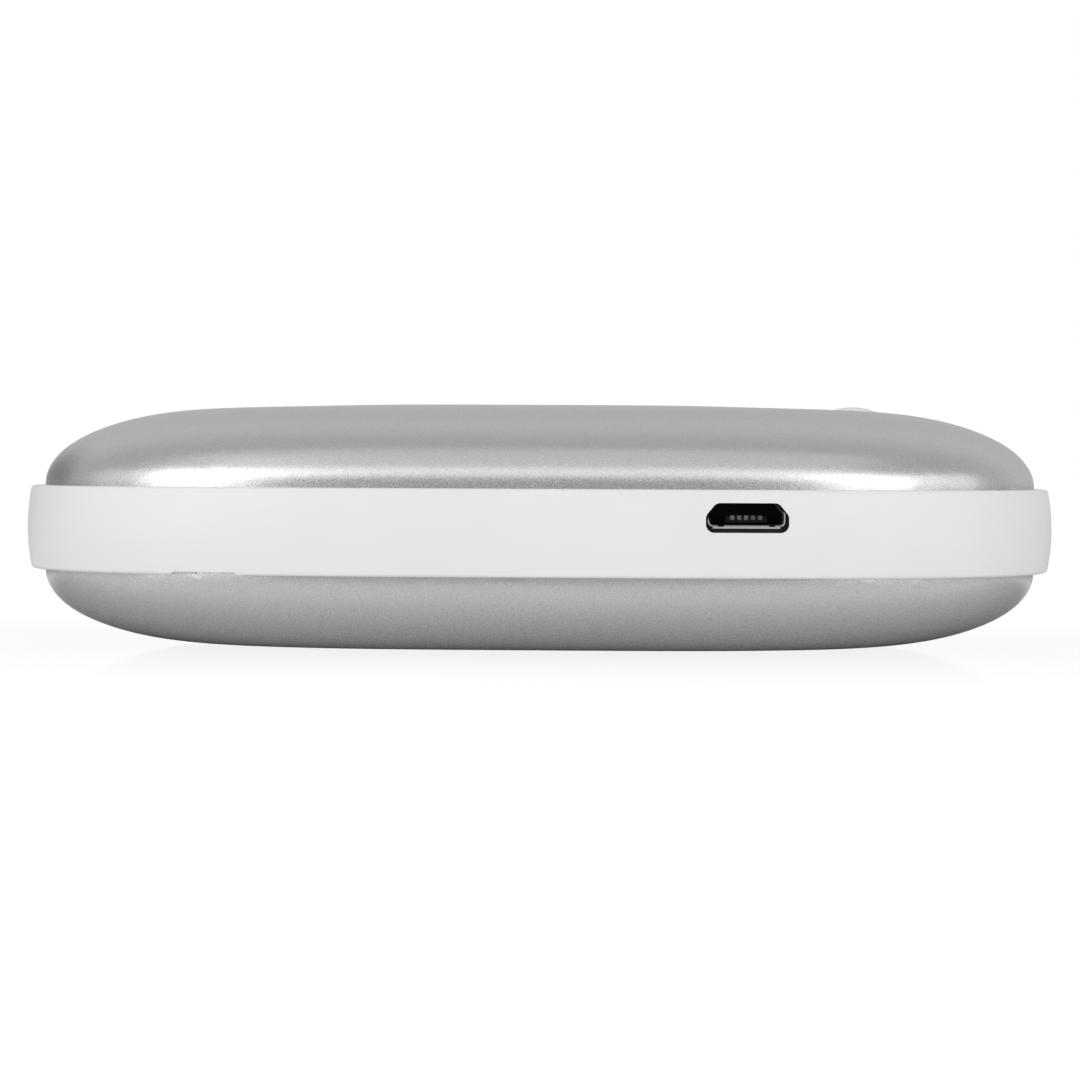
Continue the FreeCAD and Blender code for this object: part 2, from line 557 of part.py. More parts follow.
def make_usb_socket():
    """The steel tube, with a bevelled lip and two latch holes, and in it the insert, its tongue and the contacts."""
    outside = usb_prism("usb_outside", "0", "usb_mouth + usb_depth", "usb_depth")
    inside = usb_prism("usb_inside", "-usb_wall", "usb_mouth + usb_depth", "usb_depth", rise="usb_floor",
                       fillet="usb_inner_fillet")
    lip = box("usb_lip", "usb_width - 2 * (usb_wall + usb_inner_fillet)", "1", "1", "usb_x", "usb_mouth + 0.5",
              f"{BOARD_TOP} + usb_wall + usb_floor - usb_lip")
    lip.Placement = FreeCAD.Placement(Vector(0, 0, 0), FreeCAD.Rotation(Vector(1, 0, 0), size("usb_lip_angle")))
    latches = [box(f"usb_latch_{i}", "usb_latch_width", "usb_latch_depth", "2 * usb_wall",
                   f"usb_x + {side} * usb_latch_x", "usb_mouth + usb_latch_setback + usb_latch_depth / 2",
                   f"{BOARD_TOP} + usb_floor") for i, side in enumerate((1, -1))]
    finish(cut("usb_shell_cut", outside, inside, lip, *latches), "usb_socket_shell")
    rise = f"{BOARD_TOP} + tongue_rise"
    root = usb_prism("usb_root", "-usb_wall - 0.02", "usb_mouth + usb_depth", "tongue_root_depth", rise="usb_floor",
                     fillet="usb_inner_fillet")
    blade_depth = "usb_depth - tongue_setback"
    blade = box("usb_blade", "tongue_width", blade_depth, "tongue_height", "usb_x",
                f"usb_mouth + tongue_setback + ({blade_depth}) / 2", rise)
    finish(fuse("usb_insert", root, blade), "usb_socket_insert")
    contact_depth = "usb_depth - tongue_setback - tongue_root_depth"
    contacts = []
    for i in range(int(size("contact_count"))):
        x = f"usb_x + contact_pitch * ({i} - (contact_count - 1) / 2)"
        strip = box(f"usb_strip_{i}", "contact_width", f"{contact_depth} + contact_height", "contact_height", x,
                    f"usb_mouth + tongue_setback + ({contact_depth} - contact_height) / 2", f"{rise} + tongue_height")
        tip = box(f"usb_tip_{i}", "contact_width", "contact_height", "contact_drop", x,
                  "usb_mouth + tongue_setback - contact_height / 2", f"{rise} + tongue_height - contact_drop")
        contacts.append(fuse(f"usb_contact_{i}", strip, tip))
    finish(group("usb_contact_set", *contacts), "usb_socket_contacts")


def make_sim(ring):
    """The reader on the board, and the tray whose cap is a piece of the band's own surface."""
    cage = box("reader_cage", "reader_length", "reader_width", "reader_height", "sim_x", "reader_y", BOARD_TOP)
    mouth = box("reader_mouth", "reader_opening", "reader_width", "reader_height - reader_wall - reader_top", "sim_x",
                "reader_y + reader_wall", f"{BOARD_TOP} + reader_wall")
    finish(cut("reader_cut", cage, mouth), "sim_reader")
    springs = [box(f"sim_spring_{column}_{row}", "1.0", "1.8", "0.12", f"sim_x + 2.54 * ({column} - 1)",
                   f"card_y + 3.2 * ({row} - 0.5)", f"{BOARD_TOP} + reader_wall")
               for column in range(3) for row in range(2)]
    finish(group("sim_spring_set", *springs), "sim_contacts")
    plate_width = "tray_back - tray_front"
    plate = rounded("tray_plate", box("tray_box", "tray_length", plate_width, "tray_height", "sim_x",
                                      "(tray_front + tray_back) / 2", "tray_bottom"), "tray_bend", upright)
    cap = common("tray_cap", ring, sim_slot("tray_cap_block", "sim_clearance"))
    grip = cylinder("tray_grip", "sim_grip_radius", "tray_length / 4", "sim_x - tray_length / 8",
                    "band_half_width + sim_grip_radius / 2", "sim_slot_bottom + sim_clearance")
    grip.Placement = FreeCAD.Placement(Vector(0, 0, 0), FreeCAD.Rotation(Vector(0, 1, 0), 90))
    pocket = box("card_pocket", "card_length", "card_width", "card_height + 1", "sim_x", "card_y",
                 "tray_bottom + card_floor")
    window = box("card_window", "card_length - 2 * card_ledge", "card_width - 2 * card_ledge", "1", "sim_x",
                 "card_y", "tray_bottom - 0.5")
    finish(cut("tray_cut", fuse("tray_solid", plate, cap), pocket, window, grip), "sim_tray")
    finish(box("card_box", "card_length - 2 * card_gap", "card_width - 2 * card_gap", "card_height", "sim_x",
               "card_y", "tray_bottom + card_floor"), "sim_card")


def make_reset():
    case = block("reset_case", "reset", BOARD_TOP)
    bore = cylinder("reset_bore", "reset_hole_radius", "reset_width", "reset_x", "reset_plunger_front - 0.35",
                    "reset_centre", along_y=True)
    finish(cut("reset_cut", case, bore), "reset_switch")
    finish(cylinder("reset_rod", "reset_plunger_radius", "reset_plunger_length", "reset_x", "reset_plunger_front",
                    "reset_centre", along_y=True), "reset_plunger")


def make_antennas():
    """Two flexible antennas on the frame's inner wall, at the two ends, and the springs that feed them."""
    inset = size("frame_wall") + size("antenna_gap")
    strip = oval_ring("antenna_strip", inset, inset + size("antenna_thickness"), "antenna_bottom", "antenna_height")
    springs = []
    for side, node in ((-1, "main_antenna"), (1, "diversity_antenna")):
        reach = box(node + "_reach", "frame_half_length", "2 * antenna_half_width", "antenna_height",
                    f"{side} * frame_half_length", "0", "antenna_bottom")
        finish(common(node + "_cut", strip, reach), node)
        low, thick = BOARD_TOP, "spring_thickness"
        outline = [("spring_foot_x", low), ("spring_knee_x", low), ("spring_tip_x", f"{low} + spring_rise"),
                   ("spring_tip_x", f"{low} + spring_rise + spring_tip_height"),
                   (f"spring_tip_x - {thick}", f"{low} + spring_rise + spring_tip_height"),
                   (f"spring_tip_x - {thick}", f"{low} + spring_rise + 0.1"),
                   (f"spring_knee_x - 0.1", f"{low} + {thick}"), ("spring_foot_x", f"{low} + {thick}")]
        outline = [(f"{side} * ({x})", z) for x, z in outline]
        springs.append(polygon_prism(node + "_spring", outline, "spring_y + spring_width / 2", "spring_width"))
    finish(group("antenna_spring_set", *springs), "antenna_springs")


# Battery


def path_of(points, bend):
    """Straight runs joined by tangent arcs of one radius."""
    edges, start = [], points[0]
    for here, after in zip(points[1:], points[2:]):
        before = (start - here).normalize()
        onward = (after - here).normalize()
        half_turn = (math.pi - before.getAngle(onward)) / 2
        reach = bend * math.tan(half_turn)
        first, last = here + before * reach, here + onward * reach
        towards = (before + onward).normalize()
        middle = here + towards * (bend / math.cos(half_turn) - bend)
        edges += [Part.LineSegment(start, first).toShape(), Part.Arc(first, middle, last).toShape()]
        start = last
    edges.append(Part.LineSegment(start, points[-1]).toShape())
    return Part.Wire(edges)


def swept(name, path, profile):
    """A solid swept along a path, whose volume is compared with its section times its length."""
    solid = path.makePipeShell([profile], True, False)
    expected = Part.Face(profile).Area * path.Length
    if abs(solid.Volume - expected) > 0.03 * expected:
        raise RuntimeError(f"{name}: volume {solid.Volume:.2f}, expected {expected:.2f}")
    made = doc.addObject("Part::Feature", name + "_sweep")
    made.Shape = solid
    return made


def make_battery():
    cell = rounded("battery_rounded", block("battery_block", "battery", "battery_bottom"), "battery_corner", upright)
    finish(rounded("battery_soft", cell, "battery_edge", lambda edge: edge.BoundBox.ZLength < 0.01), "battery_cell")
    finish(block("guard_block", "guard", "guard_bottom"), "battery_guard_board")
    finish(block("pad_block", "pad", "pad_bottom"), "battery_pad")
    header = block("header_block", "header", "board_bottom - header_height")
    finish(header, "battery_header")
    plug_bottom = "board_bottom - header_height - plug_height"
    finish(box("plug_box", "plug_length", "plug_width", "plug_height", "header_x", "header_y", plug_bottom),
           "battery_plug")
    level, radius = size("lead_level"), size("lead_radius")
    start_x = size("guard_x") + size("guard_length") / 2
    end_z = size("board_bottom") - size("header_height") - size("plug_height")
    for i, node in enumerate(LEADS):
        y = size("lead_pitch") * (i - (len(LEADS) - 1) / 2)
        route = [Vector(start_x, y, level), Vector(size("header_x"), y, level), Vector(size("header_x"), y, end_z)]
        section = Part.Wire(Part.Circle(route[0], Vector(1, 0, 0), radius).toShape())
        finish(swept(node, path_of(route, size("lead_bend")), section), node)


# Button, lights and their small board


KEY_BOARD_TOP = "carrier_bottom + carrier_height + key_board_height"


def make_key_board():
    blank = rounded("key_board_rounded", block("key_board_block", "key_board", "carrier_bottom + carrier_height"),
                    "key_board_corner", upright)
    holes = [cylinder(f"key_board_hole_{i}", "key_board_screw_radius + 0.1", "key_board_height",
                      "key_board_screw_x", f"{side} * key_board_screw_y", "carrier_bottom + carrier_height")
             for i, side in enumerate((1, -1))]
    finish(cut("key_board_cut", blank, *holes), "button_board")
    screws = [screw(f"key_screw_{i}", "key_board_screw_radius", "key_board_shank_height", "key_board_head_radius",
                    "key_board_head_height", f"({KEY_BOARD_TOP})", False, "key_board_screw_x",
                    f"{side} * key_board_screw_y") for i, side in enumerate((1, -1))]
    finish(group("key_screw_set", *screws), "button_board_screws")


def make_key_switch():
    can = rounded("switch_rounded", box("switch_box", "key_switch_length", "key_switch_length", "key_switch_height",
                                        "button_x", "button_y", KEY_BOARD_TOP), "tray_bend", upright)
    bore = cylinder("switch_bore", "key_switch_bore_radius", "key_switch_bore_depth", "button_x", "button_y",
                    f"{KEY_BOARD_TOP} + key_switch_height - key_switch_bore_depth")
    finish(cut("switch_cut", can, bore), "power_switch")
    finish(cylinder("switch_rod", "key_switch_plunger_radius", "key_switch_plunger_height", "button_x", "button_y",
                    "button_stem_bottom - 0.02 - key_switch_plunger_height"), "power_switch_plunger")


def make_button():
    """A domed cap on a flange that the shell holds in, with a stem down to the switch."""
    top, dome, radius = size("button_top"), size("button_dome"), size("button_radius")
    flange, flange_top = size("button_flange_radius"), size("button_flange_bottom") + size("button_flange_height")
    stem = size("button_stem_radius")
    corners = [Vector(0, 0, size("button_stem_bottom")), Vector(stem, 0, size("button_stem_bottom")),
               Vector(stem, 0, size("button_flange_bottom")), Vector(flange, 0, size("button_flange_bottom")),
               Vector(flange, 0, flange_top), Vector(radius, 0, flange_top), Vector(radius, 0, top - dome)]
    crown = (radius ** 2 + dome ** 2) / (2 * dome)
    middle = Vector(radius / 2, 0, top - crown + math.sqrt(crown ** 2 - radius ** 2 / 4))
    edges = [Part.LineSegment(a, b).toShape() for a, b in zip(corners, corners[1:])]
    edges.append(Part.Arc(corners[-1], middle, Vector(0, 0, top)).toShape())
    edges.append(Part.LineSegment(Vector(0, 0, top), corners[0]).toShape())
    profile = doc.addObject("Part::Feature", "button_profile")
    profile.Shape = Part.Face(Part.Wire(edges))
    turned = doc.addObject("Part::Revolution", "button_turned")
    turned.Source = profile
    turned.Axis = Vector(0, 0, 1)
    turned.Angle = 360
    turned.Solid = True
    bind(turned, "Placement.Base.x", "button_x")
    bind(turned, "Placement.Base.y", "button_y")
    finish(turned, "power_button")


def make_lights():
    """Four status lights on the small board, and the clear guide that carries them to the top shell's face."""
    places = [f"light_pitch * ({i} - (light_count - 1) / 2)" for i in range(int(size("light_count")))]
    chips = [box(f"light_chip_{i}", "light_led_length", "light_led_width", "light_led_height", "light_x", y,
                 KEY_BOARD_TOP) for i, y in enumerate(places)]
    finish(group("light_chip_set", *chips), "status_leds")
    pipes = [cylinder(f"light_pipe_{i}", "light_radius", "light_top - light_runner_bottom", "light_x", y,
                      "light_runner_bottom") for i, y in enumerate(places)]
    runner = box("light_runner", "light_runner_length", "light_runner_width", "light_runner_height", "light_x", "0",
                 "light_runner_bottom")
    legs = [box(f"light_leg_{i}", "light_runner_length", "light_leg_width",
                f"light_runner_bottom - ({KEY_BOARD_TOP})", "light_x",
                f"{side} * (light_runner_width - light_leg_width) / 2", KEY_BOARD_TOP)
            for i, side in enumerate((1, -1))]
    finish(fuse("light_guide_solid", runner, *pipes, *legs), "light_guide")


def make_ribbon():
    """The flat cable between the two boards, and the socket at each end."""
    sockets = []
    for name, x, z, mouth in (("upper_socket", "socket_upper_x", KEY_BOARD_TOP, -1),
                              ("lower_socket", "socket_lower_x", BOARD_TOP, 1)):
        case = box(name + "_case", "socket_length", "socket_width", "socket_height", x, "0", z)
        slot = box(name + "_slot", "socket_length", "ribbon_width + 0.2", "socket_slot",
                   f"{x} + {mouth} * (socket_length - ribbon_insertion - 0.1)", "0",
                   f"{z} + socket_height / 2 - socket_slot / 2")
        sockets.append(cut(name, case, slot))
    finish(group("socket_set", *sockets), "ribbon_sockets")
    low = size("board_bottom") + size("board_height") + size("socket_height") / 2
    high = (size("carrier_bottom") + size("carrier_height") + size("key_board_height") + size("socket_height") / 2)
    start = size("socket_upper_x") - size("socket_length") / 2 + size("ribbon_insertion")
    end = size("socket_lower_x") + size("socket_length") / 2 - size("ribbon_insertion")
    drop, half, thin = size("ribbon_drop_x"), size("ribbon_width") / 2, size("ribbon_thickness") / 2
    route = [Vector(start, 0, high), Vector(drop, 0, high), Vector(drop, 0, low), Vector(end, 0, low)]
    corners = [Vector(start, y, high + z) for y, z in ((-half, -thin), (half, -thin), (half, thin), (-half, thin))]
    section = Part.makePolygon(corners + corners[:1])
    finish(swept("ribbon", path_of(route, size("ribbon_bend")), section), "ribbon_cable")


def check_and_export():
    doc.recompute()
    for thing in doc.Objects:
        if "Invalid" in thing.State or "Error" in thing.State:
            raise RuntimeError(f"{thing.Name} ({thing.Label}) failed: {thing.State}")
    os.makedirs("parts", exist_ok=True)
    for name, thing in parts.items():
        shape = thing.Shape
        if shape.isNull() or not shape.isValid() or not shape.Solids:
            raise RuntimeError(f"{name} has no valid solid")
        shape.exportStep(f"parts/{name}.step")
        print(f"{name}: {len(shape.Solids)} solid(s), {shape.Volume:.1f} mm3")


fill_sheet()
make_shells()
band_ring = make_band()
make_frame()
make_frame_screws()
make_carrier()
make_board()
make_packages()
make_usb_socket()
make_sim(band_ring)
make_reset()
make_antennas()
make_battery()
make_key_board()
make_key_switch()
make_button()
make_lights()
make_ribbon()
check_and_export()
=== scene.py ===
"""Looks of the mobile hotspot: materials for every CAD node, studio, and camera. Metres, in the CAD's frame."""

import bpy
import json
import math
from mathutils import Matrix, Vector


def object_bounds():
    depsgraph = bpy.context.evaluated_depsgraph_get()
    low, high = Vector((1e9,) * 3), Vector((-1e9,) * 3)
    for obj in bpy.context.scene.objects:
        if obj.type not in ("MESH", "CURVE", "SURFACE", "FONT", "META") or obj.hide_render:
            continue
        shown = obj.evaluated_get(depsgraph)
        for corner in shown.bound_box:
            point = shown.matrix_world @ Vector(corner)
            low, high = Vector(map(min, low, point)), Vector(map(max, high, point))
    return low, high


MM = 0.001
WHITE = (1, 1, 1)
FRONT = (0, -1, 0)
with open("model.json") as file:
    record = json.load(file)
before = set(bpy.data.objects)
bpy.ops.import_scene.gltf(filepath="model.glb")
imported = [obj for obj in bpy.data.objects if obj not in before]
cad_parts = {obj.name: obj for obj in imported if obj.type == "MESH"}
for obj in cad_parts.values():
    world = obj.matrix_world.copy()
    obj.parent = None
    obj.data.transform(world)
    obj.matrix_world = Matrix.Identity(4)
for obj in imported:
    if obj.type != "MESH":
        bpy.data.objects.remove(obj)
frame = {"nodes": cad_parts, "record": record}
nodes = frame["nodes"]
cad_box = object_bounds()
scene = bpy.context.scene


# Node helpers


class Tree:
    """The node tree of a material or of the world."""

    def __init__(self, owner):
        owner.use_nodes = True
        self.owner = owner
        self.nodes = owner.node_tree.nodes
        self.links = owner.node_tree.links
        self.place = self.new("TexCoord")

    def new(self, kind, **inputs):
        made = self.nodes.new("ShaderNode" + kind)
        for key, value in inputs.items():
            self.feed(made.inputs[key.replace("_", " ")], value)
        return made

    def feed(self, socket, value):
        """Links or sets a socket. A triple given to a colour gets an alpha of 1."""
        if isinstance(value, bpy.types.NodeSocket):
            self.links.new(value, socket)
        elif socket.type == "RGBA" and len(value) == 3:
            socket.default_value = (*value, 1.0)
        else:
            socket.default_value = value

    def vector(self, operation, a, b=(0, 0, 0)):
        made = self.new("VectorMath")
        made.operation = operation
        self.feed(made.inputs[0], a)
        self.feed(made.inputs[1], b)
        return made.outputs["Value" if operation in ("LENGTH", "DOT_PRODUCT") else "Vector"]

    def math(self, operation, a, b=0.0):
        made = self.new("Math")
        made.operation = operation
        self.feed(made.inputs[0], a)
        self.feed(made.inputs[1], b)
        return made.outputs[0]

    def spread(self, value, low, high, start=0.0, end=1.0):
        """value, taken from start..end to low..high."""
        made = self.new("MapRange", Value=value)
        made.inputs["From Min"].default_value = start
        made.inputs["From Max"].default_value = end
        made.inputs["To Min"].default_value = low
        made.inputs["To Max"].default_value = high
        return made.outputs["Result"]

    def ramp(self, value, stops):
        """value, taken through (place, grey) stops."""
        start, end = stops[0][0], stops[-1][0]
        made = self.new("ValToRGB", Fac=self.spread(value, 0, 1, start, end))
        for i, (place, shade) in enumerate(stops):
            stop = made.color_ramp.elements[i] if i < 2 else made.color_ramp.elements.new(1)
            stop.position, stop.color = (place - start) / (end - start), (*grey(shade), 1)
        return made.outputs["Color"]

    def mix(self, share, a, b):
        made = self.new("Mix")
        made.data_type = "RGBA"
        for i, value in ((0, share), (6, a), (7, b)):
            self.feed(made.inputs[i], value)
        return made.outputs[2]


class Surface(Tree):
    """A material's node tree. at gives a point on the object in millimetres."""

    def __init__(self, name):
        super().__init__(bpy.data.materials.new(name))
        scale = self.new("VectorMath")
        scale.operation = "SCALE"
        self.feed(scale.inputs["Scale"], 1 / MM)
        self.feed(scale.inputs[0], self.place.outputs["Object"])
        self.at = scale.outputs["Vector"]

    def along(self, axis):
        """The place along one axis, in millimetres."""
        return self.vector("DOT_PRODUCT", self.at, axis)

    def noise(self, grain, detail=2.0, roughness=0.5, stretch=(1, 1, 1)):
        """Noise from 0 to 1 whose features are about `grain` millimetres across."""
        at = self.vector("MULTIPLY", self.at, stretch)
        return self.new("TexNoise", Vector=at, Scale=1 / grain, Detail=detail, Roughness=roughness).outputs["Fac"]

    def cells(self, pitch):
        """Voronoi cells about `pitch` millimetres apart."""
        return self.new("TexVoronoi", Vector=self.at, Scale=1 / pitch).outputs

    def stripes(self, axis, pitch, share):
        """1 on bands that repeat every `pitch` millimetres and fill `share` of it, 0 between them."""
        turn = self.math("FRACT", self.math("DIVIDE", self.along(axis), pitch))
        return self.math("LESS_THAN", turn, share)

    def bump(self, height, depth, over=None):
        """A bump of `depth` millimetres, over the surface or over another bump."""
        made = self.new("Bump", Height=height, Strength=1.0, Distance=depth * MM)
        if over:
            self.feed(made.inputs["Normal"], over)
        return made.outputs["Normal"]

    def finish(self, **inputs):
        for key, value in inputs.items():
            self.feed(self.nodes["Principled BSDF"].inputs[key.replace("_", " ")], value)
        return self.owner


def grey(value):
    return (value, value, value)


# Outside: all lengths in millimetres

SPECKLE, SPECKLE_DEPTH, SILVER = 0.15, 0.005, 0.55
CAP_SIZE, CAP_RISE, OVAL_POWER = (17.8, 9.5), 0.085, 3.3  # half length and half width of the top's flat middle
ABOVE_BAND = 20
MOUTH_X, MOUTH_STRAIGHT = 20.03, 3.15  # the socket's middle, and half the straight part of its mouth's floor
MOUTH_LOW, MOUTH_CORNER = 13.53, 0.35  # its lower corners: the height of their centres, and their radius
RIM_WIDTH, RIM_SLOPE, RIM_TOPS, RIM_FADE = 0.1, 0.36, (13.9, 14.5), 0.3  # tops at the left and the right, above which the rim fades into the painted shade of the cut edges
PAINTED_EDGE_FACING = (0.96, 0.99)  # the cosines to the front where the painted shade on a cut edge starts and is full


def crown(tree):
    """A bump that rounds off the middle of the top, which is flat in the CAD and has an oval outline."""
    across = [tree.math("POWER", tree.math("ABSOLUTE", tree.along(axis)), OVAL_POWER)
              for axis in ((1 / CAP_SIZE[0], 0, 0), (0, 1 / CAP_SIZE[1], 0))]
    inside = tree.math("MINIMUM", tree.math("ADD", *across), 1.0)
    rise = tree.math("SUBTRACT", 1.0, tree.math("POWER", inside, 2 / OVAL_POWER))
    top = tree.math("GREATER_THAN", tree.along((0, 0, 1)), ABOVE_BAND)
    return tree.bump(tree.math("MULTIPLY", rise, top), CAP_RISE)


def shell_metal():
    """Bead-blasted silver: flakes that each tilt and shine a little differently, over a slow drift of finish."""
    tree = Surface("shell_metal")
    flakes = tree.cells(SPECKLE)
    fine = tree.noise(SPECKLE, detail=2, roughness=0.6)
    broad = tree.noise(11)
    colour = tree.mix(tree.spread(flakes["Color"], 0, 1), grey(SILVER - 0.02), grey(SILVER + 0.03))
    rough = tree.math("ADD", tree.spread(fine, 0.24, 0.31, 0.3, 0.7), tree.spread(broad, -0.012, 0.012))
    height = tree.math("ADD", flakes["Color"], fine)
    return tree.finish(Base_Color=colour, Metallic=1.0, Roughness=rough,
                       Normal=tree.bump(height, SPECKLE_DEPTH, crown(tree)))


def white_plastic(name, colour, rough, drift):
    """Moulded white plastic: a satin grain, and a slow drift of shade."""
    tree = Surface(name)
    fine = tree.noise(0.22, detail=3, roughness=0.6)
    base = tree.mix(tree.spread(tree.noise(14), 0, 1, 0.35, 0.65), grey(colour * (1 - drift)), grey(colour))
    return tree.finish(Base_Color=base, Roughness=tree.spread(fine, rough - 0.05, rough + 0.05),
                       Normal=tree.bump(fine, 0.003))


def mouth_rim(tree):
    """The rolled inner rim of the socket's mouth, at its sides and lower corners: where it is kept clear of the
    painted shade, fading back into it towards its tops, and its bump.
    """
    x, z = tree.along((1, 0, 0)), tree.along((0, 0, 1))
    aside = tree.math("SUBTRACT", tree.math("ABSOLUTE", tree.math("SUBTRACT", x, MOUTH_X)), MOUTH_STRAIGHT)
    legs = [tree.math("MAXIMUM", leg, 0.0) for leg in (aside, tree.math("SUBTRACT", MOUTH_LOW, z))]
    reach = tree.math("SQRT", tree.math("ADD", *(tree.math("MULTIPLY", leg, leg) for leg in legs)))
    outward = tree.spread(reach, 0, 1, MOUTH_CORNER, MOUTH_CORNER + RIM_WIDTH)
    on_rim = tree.math("MULTIPLY", tree.math("GREATER_THAN", aside, 0), tree.math("LESS_THAN", outward, 0.99))
    top = tree.spread(x, *RIM_TOPS, MOUTH_X - 1, MOUTH_X + 1)
    fade = tree.spread(tree.math("SUBTRACT", top, z), 0, 1, 0, RIM_FADE)
    return tree.math("MULTIPLY", on_rim, fade), tree.bump(outward, RIM_WIDTH * RIM_SLOPE)


def formed_steel(name, colour, rough, painted_edge_colour):
    """Plated sheet, drawn along Y. Its cut edges, which face the front, are coloured dark as painted shade and made
    rougher, but for the rolled rim below its tops.
    """
    tree = Surface(name)
    drawn = tree.noise(0.12, detail=3, stretch=(1, 0.08, 1))
    facing = tree.vector("DOT_PRODUCT", tree.place.outputs["Normal"], FRONT)
    rim, rolled = mouth_rim(tree)
    # painted shade: cut edges that face the front are coloured dark, except on the rim
    painted_edge_shade = tree.math("MULTIPLY", tree.spread(facing, 0, 1, *PAINTED_EDGE_FACING), tree.math("SUBTRACT", 1.0, rim))
    plated = tree.mix(drawn, grey(colour * 0.9), grey(colour * 1.05))
    worn = tree.math("ADD", tree.spread(drawn, rough - 0.05, rough + 0.05), tree.spread(painted_edge_shade, 0, 0.2))
    return tree.finish(Base_Color=tree.mix(painted_edge_shade, plated, grey(painted_edge_colour)), Metallic=1.0, Roughness=worn,
                       Normal=tree.bump(drawn, 0.004, rolled))


# Inside


def plain(name, colour, rough, grain=0.3, depth=0.006, metallic=0.0, change=0.12, stretch=(1, 1, 1), gloss=0.5):
    """A moulded, stamped or rolled surface: colour and roughness that vary a little, and a fine bump."""
    tree = Surface(name)
    fine = tree.noise(grain, detail=3, roughness=0.6, stretch=stretch)
    darker = tuple(c * (1 - change) for c in colour)
    lighter = tuple(min(1.0, c * (1 + change)) for c in colour)
    base = tree.mix(tree.spread(tree.noise(grain * 12, stretch=stretch), 0, 1, 0.3, 0.7), darker, lighter)
    return tree.finish(Base_Color=base, Metallic=metallic, Roughness=tree.spread(fine, rough - 0.06, rough + 0.06),
                       Normal=tree.bump(fine, depth), Specular_IOR_Level=gloss)


def circuit_board():
    """Green solder mask with raised copper tracks, and tinned holes between them."""
    tree = Surface("circuit_board")
    tracks = tree.math("MAXIMUM", tree.stripes((1, 0, 0), 1.9, 0.16), tree.stripes((0.2, 1, 0), 2.3, 0.14))
    tracks = tree.math("MULTIPLY", tracks, tree.math("GREATER_THAN", tree.noise(3.5), 0.47))
    holes = tree.math("LESS_THAN", tree.cells(2.6)["Distance"], 0.1)
    mask = tree.mix(tracks, (0.012, 0.10, 0.045), (0.03, 0.22, 0.09))
    return tree.finish(Base_Color=tree.mix(holes, mask, (0.62, 0.6, 0.55)), Metallic=holes,
                       Roughness=tree.spread(tree.noise(0.6), 0.28, 0.4),
                       Normal=tree.bump(tree.math("SUBTRACT", tracks, holes), 0.03))


def copper_film(name, copper, film, pitch, share, rough):
    """Copper tracks along X, laminated in a film."""
    tree = Surface(name)
    tracks = tree.stripes((0, 1, 0), pitch, share)
    waves = tree.noise(1.5)
    return tree.finish(Base_Color=tree.mix(tracks, film, copper), Metallic=tree.spread(tracks, 0, 0.7),
                       Roughness=tree.spread(waves, rough - 0.06, rough + 0.06),
                       Normal=tree.bump(tree.math("ADD", tracks, waves), 0.02))


def foil_pouch():
    """A laminated foil pouch, slightly wrinkled."""
    tree = Surface("battery_wrap")
    wrinkles = tree.noise(7, detail=4, roughness=0.45, stretch=(0.4, 1, 1))
    fine = tree.noise(0.35, detail=2)
    colour = tree.mix(wrinkles, (0.42, 0.44, 0.47), (0.56, 0.58, 0.61))
    return tree.finish(Base_Color=colour, Metallic=0.75, Roughness=tree.spread(fine, 0.3, 0.42),
                       Normal=tree.bump(tree.math("ADD", wrinkles, tree.spread(fine, 0, 0.05)), 0.12))


def soft_foam(name, colour, pitch):
    """Foam or gel whose cut surface shows its cells."""
    tree = Surface(name)
    cells = tree.cells(pitch)["Distance"]
    shade = tree.mix(cells, tuple(0.7 * c for c in colour), tuple(1.2 * c for c in colour))
    return tree.finish(Base_Color=shade, Roughness=tree.spread(cells, 0.75, 0.9), Normal=tree.bump(cells, pitch / 4))


def clear_acrylic():
    """Clear plastic with faint flow lines."""
    tree = Surface("guide_clear")
    flow = tree.noise(2.5, detail=3)
    return tree.finish(Base_Color=tree.mix(flow, (0.86, 0.89, 0.9), (0.93, 0.95, 0.95)),
                       Roughness=tree.spread(flow, 0.1, 0.2), Transmission_Weight=0.6, IOR=1.49,
                       Normal=tree.bump(flow, 0.01))


def light_chip():
    """A white case with a yellow phosphor window in the middle of each chip, the chips being 4 mm apart along Y."""
    tree = Surface("led_body")
    turn = tree.math("FRACT", tree.math("DIVIDE", tree.along((0, 1, 0)), 4))
    window = tree.math("LESS_THAN", tree.math("ABSOLUTE", tree.math("SUBTRACT", turn, 0.5)), 0.12)
    grain = tree.noise(0.15, detail=2)
    colour = tree.mix(window, (0.85, 0.85, 0.82), (0.82, 0.66, 0.12))
    return tree.finish(Base_Color=colour, Roughness=tree.spread(grain, 0.25, 0.4), Normal=tree.bump(grain, 0.004))


def metal(name, colour, rough, grain, depth=0.006, change=0.12, stretch=(1, 1, 1)):
    return plain(name, colour, rough, grain, depth, 1.0, change, stretch)


